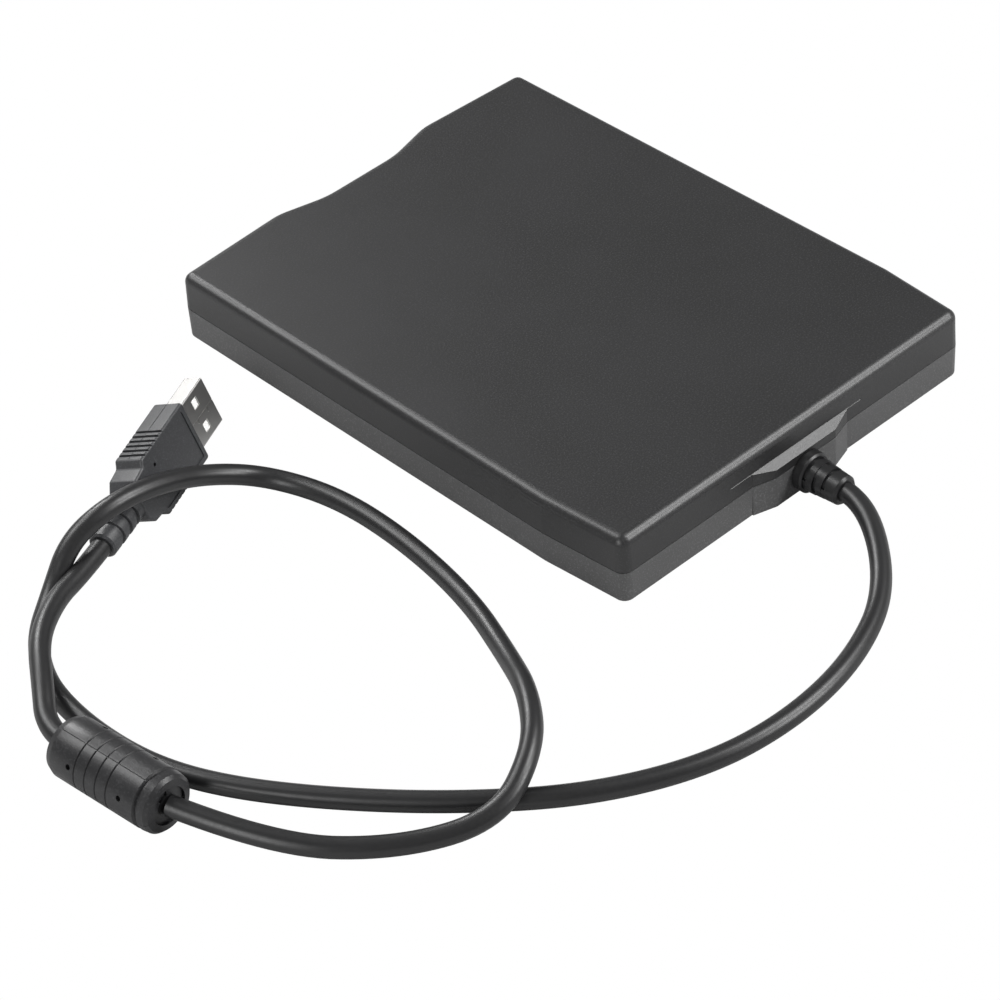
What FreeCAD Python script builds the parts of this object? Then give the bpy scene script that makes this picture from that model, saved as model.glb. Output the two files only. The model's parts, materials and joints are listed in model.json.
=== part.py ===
import FreeCAD, Part
import math
import os

# External floppy disk drive with its cable, ferrite bead and plug.
# Millimetres, +Z up, origin on the table under the middle of the case, disk slot toward -Y.

V = FreeCAD.Vector
doc = FreeCAD.newDocument("floppy_disk_drive")

# Driving dimensions
sheet = doc.addObject("Spreadsheet::Sheet", "Dims")
DIMENSIONS = {
    "case_bottom": 0.6,
    "seam_height": 8.55,
    "seam_gap": 0.2,
    "case_top": 17.7,
    "case_wall": 1.8,
    "roof_wall": 1.5,
    "lower_draft": 1.4,
    "upper_draft": 1.2,
    "slot_bottom": 9.3,
    "slot_height": 4.6,
    "slot_width": 93.0,
    "plate_wall": 1.0,
    "cord_width": 4.6,
    "plug_thickness": 7.2,
}
for row, (word, value) in enumerate(DIMENSIONS.items(), start=1):
    sheet.set("A%d" % row, word)
    sheet.set("B%d" % row, str(value))
    sheet.setAlias("B%d" % row, word)
sheet.set("A20", "upper_start")
sheet.set("B20", "=seam_height + seam_gap")
sheet.setAlias("B20", "upper_start")
doc.recompute()

CASE_BOTTOM = DIMENSIONS["case_bottom"]
SEAM = DIMENSIONS["seam_height"]
UPPER_START = SEAM + DIMENSIONS["seam_gap"]
CASE_TOP = DIMENSIONS["case_top"]
WALL = DIMENSIONS["case_wall"]
CORD = DIMENSIONS["cord_width"]
CABLE_X = -1.0
CABLE_Z = 5.6
HUB_Y = -9.0


def round_corner(before, corner, after, radius):
    a = (before - corner).normalize()
    b = (after - corner).normalize()
    half = 0.5 * math.acos(max(-1.0, min(1.0, a.dot(b))))
    back = radius / math.tan(half)
    middle = corner + (a + b).normalize() * (radius / math.sin(half) - radius)
    return corner + a * back, middle, corner + b * back


def draw(sk, points):
    """A closed outline; each point is x, y and the radius of its corner."""
    count = len(points)
    corners = [V(p[0], p[1], 0) for p in points]
    pieces = []
    for i in range(count):
        radius = points[i][2] if len(points[i]) > 2 else 0
        if radius:
            pieces.append(round_corner(corners[i - 1], corners[i], corners[(i + 1) % count], radius))
        else:
            pieces.append((corners[i], None, corners[i]))
    for i in range(count):
        start, middle, end = pieces[i]
        if middle is not None:
            sk.addGeometry(Part.Arc(start, middle, end), False)
        following = pieces[(i + 1) % count][0]
        if end.distanceToPoint(following) > 1e-6:
            sk.addGeometry(Part.LineSegment(end, following), False)


def draw_circle(sk, x, y, radius):
    sk.addGeometry(Part.Circle(V(x, y, 0), V(0, 0, 1), radius), False)


def box_outline(x0, y0, x1, y1, radius=0):
    return [(x0, y0, radius), (x1, y0, radius), (x1, y1, radius), (x0, y1, radius)]


def new_body(name):
    body = doc.addObject("PartDesign::Body", name)
    body.Label = name
    return body


def sketch_on(body, name, role, offset=0.0, bound=None):
    sk = body.newObject("Sketcher::SketchObject", name)
    plane = [f for f in body.Origin.OriginFeatures if f.Role == role][0]
    sk.AttachmentSupport = [(plane, "")]
    sk.MapMode = "FlatFace"
    sk.AttachmentOffset = FreeCAD.Placement(V(0, 0, offset), FreeCAD.Rotation())
    if bound:
        sk.setExpression("AttachmentOffset.Base.z", bound)
    return sk


def pad(body, sk, length, bound=None, down=False, taper=None, both=False):
    feature = body.newObject("PartDesign::Pad", sk.Name + "_pad")
    feature.Profile = sk
    feature.Length = length
    if bound:
        feature.setExpression("Length", bound)
    if taper:
        feature.setExpression("TaperAngle", taper)
    feature.Reversed = down
    feature.Midplane = both
    sk.Visibility = False
    doc.recompute()
    return feature


def pocket(body, sk, length, up=False, both=False, through=False, bound=None):
    before = body.Shape.Volume
    feature = body.newObject("PartDesign::Pocket", sk.Name + "_pocket")
    feature.Profile = sk
    feature.Length = length
    if bound:
        feature.setExpression("Length", bound)
    if through:
        feature.Type = 1
    feature.Reversed = up
    feature.Midplane = both
    sk.Visibility = False
    doc.recompute()
    after = body.Shape.Volume
    if not after < before - 1e-6:
        print("no cut", body.Label, sk.Name, before, after)
    return feature


def turned(name, outline, x=0.0):
    """A piece of revolution about its own Z axis from an outline of radius and height."""
    body = new_body(name)
    sk = sketch_on(body, name + "_profile", "XZ_Plane")
    draw(sk, outline)
    feature = body.newObject("PartDesign::Revolution", name + "_turn")
    feature.Profile = sk
    feature.ReferenceAxis = (sk, ["V_Axis"])
    feature.Angle = 360
    doc.recompute()
    return body


def edges_where(shape, test):
    names = []
    for i, edge in enumerate(shape.Edges, start=1):
        if test(edge):
            names.append("Edge%d" % i)
    return names


def flat_at(height):
    def test(edge):
        return all(abs(v.Point.z - height) < 0.01 for v in edge.Vertexes) and len(edge.Vertexes) > 1
    return test


def fillet(body, base, test, radius):
    names = edges_where(base.Shape, test)
    feature = body.newObject("PartDesign::Fillet", base.Name + "_round")
    feature.Base = (base, names)
    feature.Radius = radius
    doc.recompute()
    if feature.Shape.isNull() or not feature.Shape.isValid():
        print("fillet failed", body.Label)
    return feature


def solid(name, shape, placement=None):
    feature = doc.addObject("Part::Feature", name)
    feature.Label = name
    feature.Shape = shape
    if placement:
        feature.Placement = placement
    return feature


def block(x0, y0, z0, x1, y1, z1):
    return Part.makeBox(x1 - x0, y1 - y0, z1 - z0, V(x0, y0, z0))


def rod(radius, start, end):
    direction = V(*end) - V(*start)
    return Part.makeCylinder(radius, direction.Length, V(*start), direction)


# Case outline in plan: bowed front with a finger dip between two humps, widest near the rear
def case_plan(inset):
    i = inset
    return [
        (52.45 - i, -68.3 + i, max(2.2 - i, 0.6)),
        (53.5 - i, 47.0 - 0.2 * i, 5.0),
        (51.9 - i, 69.3 - i, max(2.6 - i, 0.8)),
        (-51.9 + i, 69.3 - i, max(2.6 - i, 0.8)),
        (-53.5 + i, 47.0 - 0.2 * i, 5.0),
        (-52.45 + i, -68.3 + i, max(2.2 - i, 0.6)),
        (-22.5, -69.75 + i, 14.0),
        (-10.5, -66.65 + i, 22.0),
        (10.5, -66.65 + i, 22.0),
        (22.5, -69.75 + i, 14.0),
    ]


def housing_bump(half_base, half_outer):
    return [
        (CABLE_X - half_base, 68.1),
        (CABLE_X + half_base, 68.1),
        (CABLE_X + half_base, 69.3),
        (CABLE_X + half_outer, 71.0),
        (CABLE_X - half_outer, 71.0),
        (CABLE_X - half_base, 69.3),
    ]


# Lower half of the case
lower = new_body("bottom_cover")
sk = sketch_on(lower, "lower_plan", "XY_Plane", SEAM, "Dims.seam_height")
draw(sk, case_plan(0.0))
skin = pad(lower, sk, SEAM - CASE_BOTTOM, "Dims.seam_height - Dims.case_bottom", down=True, taper="-Dims.lower_draft")
skin = fillet(lower, skin, flat_at(CASE_BOTTOM), 0.7)
sk = sketch_on(lower, "lower_bump", "XY_Plane", SEAM, "Dims.seam_height")
draw(sk, housing_bump(14.6, 9.1))
pad(lower, sk, SEAM - CASE_BOTTOM - 0.3, "Dims.seam_height - Dims.case_bottom - 0.3", down=True)
sk = sketch_on(lower, "lower_hollow", "XY_Plane", SEAM, "Dims.seam_height")
draw(sk, case_plan(WALL + 0.3))
pocket(lower, sk, SEAM - 2.1, bound="Dims.seam_height - Dims.case_bottom - Dims.roof_wall")
sk = sketch_on(lower, "front_slope", "YZ_Plane")
draw(sk, [(-73, 9.5), (-73, -1), (-67.9, -1), (-70.0, 8.55), (-70.0, 9.5)])
pocket(lower, sk, 120, both=True)
sk = sketch_on(lower, "bezel_window", "XY_Plane", 2.1)
draw(sk, box_outline(-49.2, -72, 49.2, -64.0))
pocket(lower, sk, 12, up=True)
BOSSES = [(-40, -44), (40, -44), (-40, 50), (40, 50)]
sk = sketch_on(lower, "chassis_bosses", "XY_Plane", 1.5)
for bx, by in BOSSES:
    draw_circle(sk, bx, by, 3.2)
pad(lower, sk, 1.45)
sk = sketch_on(lower, "rear_bosses", "XY_Plane", 1.5)
for bx in (-45.5, 45.5):
    draw_circle(sk, bx, 63.4, 2.6)
pad(lower, sk, SEAM - 1.5)
sk = sketch_on(lower, "floor_ribs", "XY_Plane", 1.5)
for y in (-24.0, 2.0, 28.0):
    draw(sk, box_outline(-47.0, y - 0.5, 47.0, y + 0.5))
pad(lower, sk, 1.3)
sk = sketch_on(lower, "screw_holes", "XY_Plane", 0.0)
for bx, by in BOSSES:
    draw_circle(sk, bx, by, 1.25)
for bx in (-45.5, 45.5):
    draw_circle(sk, bx, 63.4, 1.25)
pocket(lower, sk, 12, up=True)
sk = sketch_on(lower, "screw_recesses", "XY_Plane", 0.0)
for bx, by in BOSSES:
    draw_circle(sk, bx, by, 2.4)
for bx in (-45.5, 45.5):
    draw_circle(sk, bx, 63.4, 2.4)
pocket(lower, sk, 1.7, up=True)
FEET = [(-41, -57), (41, -57), (-34, 60), (34, 60)]
sk = sketch_on(lower, "foot_recesses", "XY_Plane", 0.0)
for fx, fy in FEET:
    draw_circle(sk, fx, fy, 4.6)
pocket(lower, sk, 1.0, up=True)
sk = sketch_on(lower, "lower_cable_hole", "XZ_Plane", -60)
draw_circle(sk, CABLE_X, CABLE_Z, 4.25)
pocket(lower, sk, 15, up=False)

# Upper half of the case
upper = new_body("top_cover")
sk = sketch_on(upper, "upper_plan", "XY_Plane", UPPER_START, "Dims.upper_start")
draw(sk, case_plan(0.0))
skin = pad(upper, sk, CASE_TOP - UPPER_START, "Dims.case_top - Dims.upper_start", taper="-Dims.upper_draft")
skin = fillet(upper, skin, flat_at(CASE_TOP), 2.2)
sk = sketch_on(upper, "upper_bump", "XY_Plane", UPPER_START, "Dims.upper_start")
draw(sk, housing_bump(14.6, 9.1))
pad(upper, sk, 12.2 - UPPER_START)
sk = sketch_on(upper, "bump_slope", "YZ_Plane")
draw(sk, [(69.0, 12.3), (69.0, 12.2), (71.3, 10.6), (71.3, 12.3)])
pocket(upper, sk, 40, both=True)
sk = sketch_on(upper, "upper_hollow", "XY_Plane", UPPER_START, "Dims.upper_start")
draw(sk, case_plan(WALL + 0.2))
pocket(upper, sk, CASE_TOP - UPPER_START - 1.5, up=True, bound="Dims.case_top - Dims.upper_start - Dims.roof_wall")
sk = sketch_on(upper, "upper_bezel_window", "XY_Plane", 15.7)
draw(sk, box_outline(-49.2, -72, 49.2, -64.0))
pocket(upper, sk, 12)
sk = sketch_on(upper, "upper_bosses", "XY_Plane", SEAM + 0.25)
for bx in (-45.5, 45.5):
    draw_circle(sk, bx, 63.4, 2.6)
pad(upper, sk, 7.6)
sk = sketch_on(upper, "roof_ribs", "XY_Plane", 15.85)
for y in (-46.0, -18.0, 12.0):
    draw(sk, box_outline(-46.0, y - 0.5, 46.0, y + 0.5))
pad(upper, sk, 0.5)
sk = sketch_on(upper, "boss_holes", "XY_Plane", SEAM)
for bx in (-45.5, 45.5):
    draw_circle(sk, bx, 63.4, 0.95)
pocket(upper, sk, 5.5, up=True)
sk = sketch_on(upper, "upper_cable_hole", "XZ_Plane", -60)
draw_circle(sk, CABLE_X, CABLE_Z, 4.25)
pocket(upper, sk, 15, up=False)

# Front bezel with the disk slot
bezel = new_body("front_bezel")
BEZEL_FRONT = [(-22.5, -69.55, 14.0), (-10.5, -66.45, 22.0), (10.5, -66.45, 22.0), (22.5, -69.55, 14.0)]
sk = sketch_on(bezel, "bezel_plan", "XY_Plane", 2.1)
draw(sk, [(49.0, -68.3, 0.6), (49.0, -62.2), (-49.0, -62.2), (-49.0, -68.3, 0.6)] + BEZEL_FRONT)
pad(bezel, sk, 13.6)
sk = sketch_on(bezel, "bezel_hollow", "XY_Plane", 3.6)
inner = [(-22.0, -67.7, 12.0), (-10.3, -64.8, 22.0), (10.3, -64.8, 22.0), (22.0, -67.7, 12.0)]
draw(sk, [(47.6, -66.6), (47.6, -61.0), (-47.6, -61.0), (-47.6, -66.6)] + inner)
pocket(bezel, sk, 11.2, up=True)
sk = sketch_on(bezel, "bezel_slope", "YZ_Plane")
draw(sk, [(-73, 9.2), (-73, -1), (-67.7, -1), (-69.8, 8.55), (-69.8, 9.2)])
pocket(bezel, sk, 120, both=True)
sk = sketch_on(bezel, "disk_slot", "XZ_Plane", 60)
half_slot = DIMENSIONS["slot_width"] / 2
slot_top = DIMENSIONS["slot_bottom"] + DIMENSIONS["slot_height"]
draw(sk, box_outline(-half_slot, DIMENSIONS["slot_bottom"], half_slot, slot_top, 0.6))
pocket(bezel, sk, 15, up=True)
sk = sketch_on(bezel, "button_window", "XZ_Plane", 60)
draw(sk, box_outline(29.8, 3.7, 41.2, 8.0, 0.5))
pocket(bezel, sk, 15, up=True)
sk = sketch_on(bezel, "lamp_window", "XZ_Plane", 60)
draw(sk, box_outline(-40.4, 5.4, -36.6, 6.8, 0.6))
pocket(bezel, sk, 15, up=True)
sk = sketch_on(bezel, "flap_pin_holes", "YZ_Plane")
draw_circle(sk, -63.5, 14.0, 0.46)
pocket(bezel, sk, 97.2, both=True)

# Dust flap across the slot, hung on a pin at its top edge
flap = new_body("door_flap")
sk = sketch_on(flap, "flap_section", "YZ_Plane")
draw(sk, [(-64.1, 9.05, 0.3), (-63.3, 9.05, 0.3), (-63.3, 13.0), (-63.0, 13.6), (-63.0, 14.4, 0.3),
          (-64.1, 14.4, 0.3)])
pad(flap, sk, 94.4, both=True)
sk = sketch_on(flap, "flap_pins", "YZ_Plane")
draw_circle(sk, -63.5, 14.0, 0.4)
pad(flap, sk, 95.6, both=True)
sk = sketch_on(flap, "flap_ribs", "YZ_Plane")
draw(sk, [(-63.35, 9.6), (-62.9, 9.9), (-62.9, 13.2), (-63.35, 13.2)])
pad(flap, sk, 60.0, both=True)
sk = sketch_on(flap, "rib_gap", "YZ_Plane")
draw(sk, [(-63.3, 9.0), (-62.5, 9.0), (-62.5, 13.25), (-63.3, 13.25)])
pocket(flap, sk, 56.0, both=True)

# Eject button with its stem
button = new_body("eject_button")
sk = sketch_on(button, "button_face", "XZ_Plane", 71.0)
draw(sk, box_outline(30.1, 4.0, 40.9, 7.7, 0.8))
cap = pad(button, sk, 5.1, down=True)
fillet(button, cap, lambda e: all(abs(v.Point.y + 71.0) < 0.01 for v in e.Vertexes), 0.5)
sk = sketch_on(button, "button_stem", "XZ_Plane", 66.0)
draw(sk, box_outline(33.4, 4.8, 37.6, 7.0))
pad(button, sk, 6.4, down=True)
sk = sketch_on(button, "button_dish", "YZ_Plane", 35.5)
draw(sk, [(-71.3, 5.1), (-70.95, 5.1), (-70.75, 5.85), (-70.95, 6.6), (-71.3, 6.6)])
pocket(button, sk, 7.0, both=True)

lamp = new_body("lamp_lens")
sk = sketch_on(lamp, "lamp_face", "XZ_Plane", 68.6)
draw(sk, box_outline(-40.4, 5.4, -36.6, 6.8, 0.6))
pad(lamp, sk, 5.2, down=True)

# Rubber feet in their recesses
feet = []
for fx, fy in FEET:
    feet.append(Part.makeCone(4.1, 4.4, 0.3, V(fx, fy, 0.0)).fuse(Part.makeCylinder(4.4, 0.65, V(fx, fy, 0.3))))
solid("rubber_feet", Part.makeCompound(feet))


def screw(x, y, seat, length, head=2.1, shank=0.95, up=True):
    head_shape = Part.makeCylinder(head, 0.9, V(x, y, seat - 0.9))
    cross = block(x - 1.2, y - 0.2, seat - 1.0, x + 1.2, y + 0.2, seat - 0.45)
    cross = cross.fuse(block(x - 0.2, y - 1.2, seat - 1.0, x + 0.2, y + 1.2, seat - 0.45))
    return head_shape.fuse(Part.makeCylinder(shank, length, V(x, y, seat))).cut(cross)


solid("case_screws", Part.makeCompound([screw(bx, 63.4, 1.7, 12.2) for bx in (-45.5, 45.5)]))
solid("chassis_screws", Part.makeCompound([screw(bx, by, 1.7, 2.6, shank=1.0) for bx, by in BOSSES]))

# Pressed steel chassis of the mechanism
PIN_Y = (-40.0, 20.0)
PIN_Z = 11.6
DROP = 2.4
TRAVEL = 5.5
chassis = new_body("chassis")
sk = sketch_on(chassis, "chassis_section", "XZ_Plane", 60.0)
draw(sk, [(-48.9, 3.0, 0.8), (48.9, 3.0, 0.8), (48.9, 14.75), (48.2, 14.75), (48.2, 4.0), (-48.2, 4.0),
          (-48.2, 14.75), (-48.9, 14.75)])
pad(chassis, sk, 120.0, down=True)
sk = sketch_on(chassis, "carriage_window", "XY_Plane", 0.0)
draw(sk, box_outline(-9.0, 9.0, 9.0, 34.0, 1.5))
pocket(chassis, sk, 5, up=True)
sk = sketch_on(chassis, "lightening_windows", "XY_Plane", 0.0)
for x in (-30.0, 30.0):
    draw(sk, box_outline(x - 8.0, -34.0, x + 8.0, -14.0, 3.0))
    draw(sk, box_outline(x - 8.0, 4.0, x + 8.0, 30.0, 3.0))
pocket(chassis, sk, 5, up=True)
sk = sketch_on(chassis, "bearing_hole", "XY_Plane", 0.0)
draw_circle(sk, 0, HUB_Y, 4.0)
pocket(chassis, sk, 5, up=True)
sk = sketch_on(chassis, "chassis_screw_holes", "XY_Plane", 0.0)
for bx, by in BOSSES:
    draw_circle(sk, bx, by, 1.0)
pocket(chassis, sk, 5, up=True)
sk = sketch_on(chassis, "drop_slots", "YZ_Plane")
for y in PIN_Y:
    draw(sk, box_outline(y - 0.9, PIN_Z - DROP - 0.9, y + 0.9, PIN_Z + 0.9, 0.85))
pocket(chassis, sk, 100, both=True)

# Sheet brace that ties the chassis walls together above the holder
brace = new_body("top_brace")
sk = sketch_on(brace, "brace_plan", "XY_Plane", 14.75)
draw(sk, box_outline(-48.9, -54.0, 48.9, 30.0, 1.5))
pad(brace, sk, 0.6)
sk = sketch_on(brace, "brace_window", "XY_Plane", 14.0)
draw(sk, box_outline(-40.0, -40.0, 40.0, 20.0, 4.0))
draw(sk, box_outline(-9.0, 22.0, 9.0, 31.0))
pocket(brace, sk, 3, up=True)

# Disk holder: channel with inturned rails, window for the head arm and arc slot for the lever
holder = new_body("disk_holder")
sk = sketch_on(holder, "holder_section", "XZ_Plane", 57.0)
draw(sk, [(-46.8, 8.6), (-39.0, 8.6), (-39.0, 9.1), (-46.2, 9.1), (-46.2, 13.5), (46.2, 13.5), (46.2, 9.1),
          (39.0, 9.1), (39.0, 8.6), (46.8, 8.6), (46.8, 14.0, 0.4), (-46.8, 14.0, 0.4)])
pad(holder, sk, 90.0, down=True)
sk = sketch_on(holder, "arm_window", "XY_Plane", 13.0)
draw(sk, box_outline(-7.5, 8.0, 7.5, 40.0))
pocket(holder, sk, 3, up=True)
sk = sketch_on(holder, "holder_windows", "XY_Plane", 13.0)
draw(sk, box_outline(-14.0, -24.0, 14.0, 2.0, 6.0))
draw(sk, box_outline(18.0, -44.0, 38.0, -26.0, 3.0))
draw(sk, box_outline(-38.0, -44.0, -18.0, -26.0, 3.0))
pocket(holder, sk, 3, up=True)
LEVER_X = -38.0
LEVER_Y = 20.0
sk = sketch_on(holder, "lever_slot", "XY_Plane", 13.0)
REACH = 26.0


def arc_point(radius, angle):
    a = math.radians(angle)
    return V(LEVER_X + radius * math.cos(a), LEVER_Y + radius * math.sin(a), 0)


sk.addGeometry(Part.Arc(arc_point(REACH + 1.6, -44), arc_point(REACH + 1.6, -15), arc_point(REACH + 1.6, 14)), False)
sk.addGeometry(Part.LineSegment(arc_point(REACH + 1.6, 14), arc_point(REACH - 1.6, 14)), False)
sk.addGeometry(Part.Arc(arc_point(REACH - 1.6, 14), arc_point(REACH - 1.6, -15), arc_point(REACH - 1.6, -44)), False)
sk.addGeometry(Part.LineSegment(arc_point(REACH - 1.6, -44), arc_point(REACH + 1.6, -44)), False)
pocket(holder, sk, 3, up=True)
sk = sketch_on(holder, "lever_pivot", "XY_Plane", 13.6)
draw_circle(sk, LEVER_X, LEVER_Y, 1.0)
pad(holder, sk, 0.95)
sk = sketch_on(holder, "left_pins", "YZ_Plane", -48.9)
for y in PIN_Y:
    draw_circle(sk, y, PIN_Z, 0.8)
pad(holder, sk, 2.3)
sk = sketch_on(holder, "right_pins", "YZ_Plane", 48.9)
for y in PIN_Y:
    draw_circle(sk, y, PIN_Z, 0.8)
pad(holder, sk, 2.3, down=True)

# Lever that draws the disk's shutter aside
lever = new_body("shutter_lever")
sk = sketch_on(lever, "lever_plan", "XY_Plane", 14.1)
draw_circle(sk, 0, 0, 2.6)
pad(lever, sk, 0.5)
sk = sketch_on(lever, "lever_arm", "XY_Plane", 14.1)
draw(sk, [(0, -2.2), (24, -1.4), (27.4, -1.4, 1.2), (27.4, 1.4, 1.2), (24, 1.4), (0, 2.2)])
pad(lever, sk, 0.5)
sk = sketch_on(lever, "lever_tip", "XY_Plane", 11.4)
draw_circle(sk, REACH, 0, 1.0)
pad(lever, sk, 3.0)
sk = sketch_on(lever, "lever_hole", "XY_Plane", 13.0)
draw_circle(sk, 0, 0, 1.05)
pocket(lever, sk, 3, up=True)
lever.Placement = FreeCAD.Placement(V(LEVER_X, LEVER_Y, 0), FreeCAD.Rotation(V(0, 0, 1), -40))

# Cam slide: a tray whose side walls carry the slanted slots that lower the holder
slide = new_body("cam_slide")
sk = sketch_on(slide, "slide_section", "XZ_Plane", 54.0)
draw(sk, [(-47.95, 4.2, 0.6), (-18.0, 4.2), (-18.0, 4.8), (-47.4, 4.8), (-47.4, 12.9), (-47.95, 12.9)])
pad(slide, sk, 84.0, down=True)
sk = sketch_on(slide, "slide_right", "XZ_Plane", 54.0)
draw(sk, [(47.95, 4.2, 0.6), (47.95, 12.9), (47.4, 12.9), (47.4, 4.8), (18.0, 4.8), (18.0, 4.2)])
pad(slide, sk, 84.0, down=True)
sk = sketch_on(slide, "slide_bridge", "XY_Plane", 4.2)
draw(sk, box_outline(-19.0, -54.0, 19.0, -42.0))
pad(slide, sk, 0.6)
sk = sketch_on(slide, "slide_tab", "XY_Plane", 4.2)
draw(sk, box_outline(33.8, -59.6, 37.2, -53.0))
pad(slide, sk, 0.6)
sk = sketch_on(slide, "slide_upstand", "XY_Plane", 4.2)
draw(sk, box_outline(33.8, -59.6, 37.2, -59.0))
pad(slide, sk, 2.8)
sk = sketch_on(slide, "slide_windows", "XY_Plane", 3.0)
for x in (-30.0, 30.0):
    draw(sk, box_outline(x - 9.0, -30.0, x + 9.0, -2.0, 3.0))
    draw(sk, box_outline(x - 9.0, 4.0, x + 9.0, 24.0, 3.0))
pocket(slide, sk, 3, up=True)
sk = sketch_on(slide, "cam_slots", "YZ_Plane")
for y in PIN_Y:
    half = 0.92
    rise = DROP
    draw(sk, [(y - 1.6, PIN_Z - half), (y, PIN_Z - half), (y + TRAVEL, PIN_Z - rise - half),
              (y + TRAVEL + 1.2, PIN_Z - rise - half), (y + TRAVEL + 1.2, PIN_Z - rise + half),
              (y + TRAVEL, PIN_Z - rise + half), (y + 0.6, PIN_Z + half), (y - 1.6, PIN_Z + half)])
pocket(slide, sk, 100, both=True)
sk = sketch_on(slide, "boss_clearance", "XY_Plane", 3.0)
for bx, by in BOSSES[:2]:
    draw(sk, box_outline(bx - 2.6, by - 2.6, bx + 2.6, by + TRAVEL + 2.6, 2.4))
pocket(slide, sk, 3, up=True)

# Spindle motor: coil board, bearing, magnet rotor with its hub and drive pin
stator = new_body("motor_board")
sk = sketch_on(stator, "board_plan", "XY_Plane", 4.05)
draw(sk, [(-17.0, HUB_Y - 20.0, 3.0), (17.0, HUB_Y - 20.0, 3.0), (17.0, HUB_Y + 14.0, 3.0),
          (9.0, HUB_Y + 17.0, 2.0), (-9.0, HUB_Y + 17.0, 2.0), (-17.0, HUB_Y + 14.0, 3.0)])
pad(stator, sk, 0.6)
sk = sketch_on(stator, "coils", "XY_Plane", 4.6)
for k in range(6):
    a = math.radians(60 * k + 30)
    draw_circle(sk, 9.2 * math.cos(a), HUB_Y + 9.2 * math.sin(a), 3.4)
pad(stator, sk, 0.5)
sk = sketch_on(stator, "board_hole", "XY_Plane", 4.0)
draw_circle(sk, 0, HUB_Y, 3.4)
pocket(stator, sk, 3, up=True)
bearing = turned("spindle_bearing", [(1.55, 2.6), (4.8, 2.6), (4.8, 2.95), (3.2, 2.95), (3.2, 5.0), (1.55, 5.0)])
bearing.Placement = FreeCAD.Placement(V(0, HUB_Y, 0), FreeCAD.Rotation())
rotor = turned("spindle_rotor", [(0, 2.7), (1.5, 2.7), (1.5, 5.35), (13.0, 5.35), (13.0, 4.85), (14.2, 4.85),
                                 (14.2, 6.0, 0.3), (12.6, 6.3), (12.2, 6.75), (2.0, 6.75), (2.0, 8.0), (1.4, 8.5),
                                 (0, 8.5)])
sk = sketch_on(rotor, "drive_pin", "XY_Plane", 6.5)
draw_circle(sk, 9.6, 0, 1.1)
pad(rotor, sk, 1.5)
rotor.Placement = FreeCAD.Placement(V(0, HUB_Y, 0), FreeCAD.Rotation())

# Stepper motor, lead screw and its front support
SCREW_X = 16.5
SCREW_Z = 8.4
motor = new_body("stepper_motor")
sk = sketch_on(motor, "can_section", "XZ_Plane", -54.6)
draw_circle(sk, SCREW_X, SCREW_Z, 4.3)
pad(motor, sk, 8.6, down=True)
sk = sketch_on(motor, "can_flange", "XZ_Plane", -54.0)
draw(sk, [(SCREW_X - 5.6, 4.0), (SCREW_X + 5.6, 4.0), (SCREW_X + 5.6, 12.6, 1.5), (SCREW_X - 5.6, 12.6, 1.5)])
pad(motor, sk, 0.8, down=True)
sk = sketch_on(motor, "screw_clearance", "XZ_Plane", -50.0)
draw_circle(sk, SCREW_X, SCREW_Z, 1.7)
pocket(motor, sk, 12)
screw_shape = rod(1.5, (SCREW_X, 38.4, SCREW_Z), (SCREW_X, 53.4, SCREW_Z))
screw_shape = screw_shape.fuse(rod(0.8, (SCREW_X, 36.0, SCREW_Z), (SCREW_X, 60.0, SCREW_Z)))
solid("lead_screw", screw_shape)
support = block(SCREW_X - 3.0, 36.0, 4.0, SCREW_X + 3.0, 37.6, 10.4)
support = support.fuse(block(SCREW_X - 3.0, 31.6, 4.0, SCREW_X + 3.0, 37.6, 4.7))
solid("screw_support", support.cut(rod(0.85, (SCREW_X, 36.0, SCREW_Z), (SCREW_X, 40.0, SCREW_Z))))

# Guide rods and the clips that hold them
ROD_X = (-14.5, 8.0)
rods = []
clips = []
for x in ROD_X:
    rods.append(rod(1.2, (x, 35.6, 7.6), (x, 59.4, 7.6)))
    for y in (35.6, 58.2):
        clip = block(x - 2.0, y, 4.0, x + 2.0, y + 1.2, 9.6)
        clips.append(clip.cut(rod(1.21, (x, y - 1, 7.6), (x, y + 3, 7.6))))
solid("guide_rods", Part.makeCompound(rods))
solid("rod_clips", Part.makeCompound(clips))

# Head carriage: block on the rods, tongue under the disk, finger on the lead screw
carriage = new_body("head_carriage")
sk = sketch_on(carriage, "carriage_plan", "XY_Plane", 5.2)
draw(sk, [(-17.0, 52.0, 1.0), (-5.0, 52.0), (-4.4, 30.0), (4.4, 30.0), (5.0, 52.0), (10.2, 52.0, 1.0),
          (10.2, 57.6, 1.0), (-17.0, 57.6, 1.0)])
pad(carriage, sk, 1.4)
sk = sketch_on(carriage, "carriage_block", "XY_Plane", 5.2)
draw(sk, box_outline(-17.0, 52.0, 10.2, 57.6, 1.0))
pad(carriage, sk, 4.8)
sk = sketch_on(carriage, "arm_posts", "XY_Plane", 9.5)
draw(sk, box_outline(-7.4, 53.0, -5.4, 57.4))
draw(sk, box_outline(5.4, 53.0, 7.4, 57.4))
pad(carriage, sk, 4.2)
sk = sketch_on(carriage, "screw_finger", "XY_Plane", 6.0)
draw(sk, box_outline(9.8, 52.8, SCREW_X - 1.6, 53.8))
pad(carriage, sk, 3.6)
sk = sketch_on(carriage, "rod_holes", "XZ_Plane", -50)
for x in ROD_X:
    draw_circle(sk, x, 7.6, 1.25)
pocket(carriage, sk, 12)
sk = sketch_on(carriage, "arm_pin_hole", "YZ_Plane")
draw_circle(sk, 55.2, 12.6, 0.5)
pocket(carriage, sk, 30, both=True)
HEAD_Y = 30.5
sk = sketch_on(carriage, "gimbal_window", "XY_Plane", 5.0)
draw(sk, box_outline(-2.2, HEAD_Y + 1.2, 2.2, HEAD_Y + 5.6))
pocket(carriage, sk, 1.0, up=True)

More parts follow.
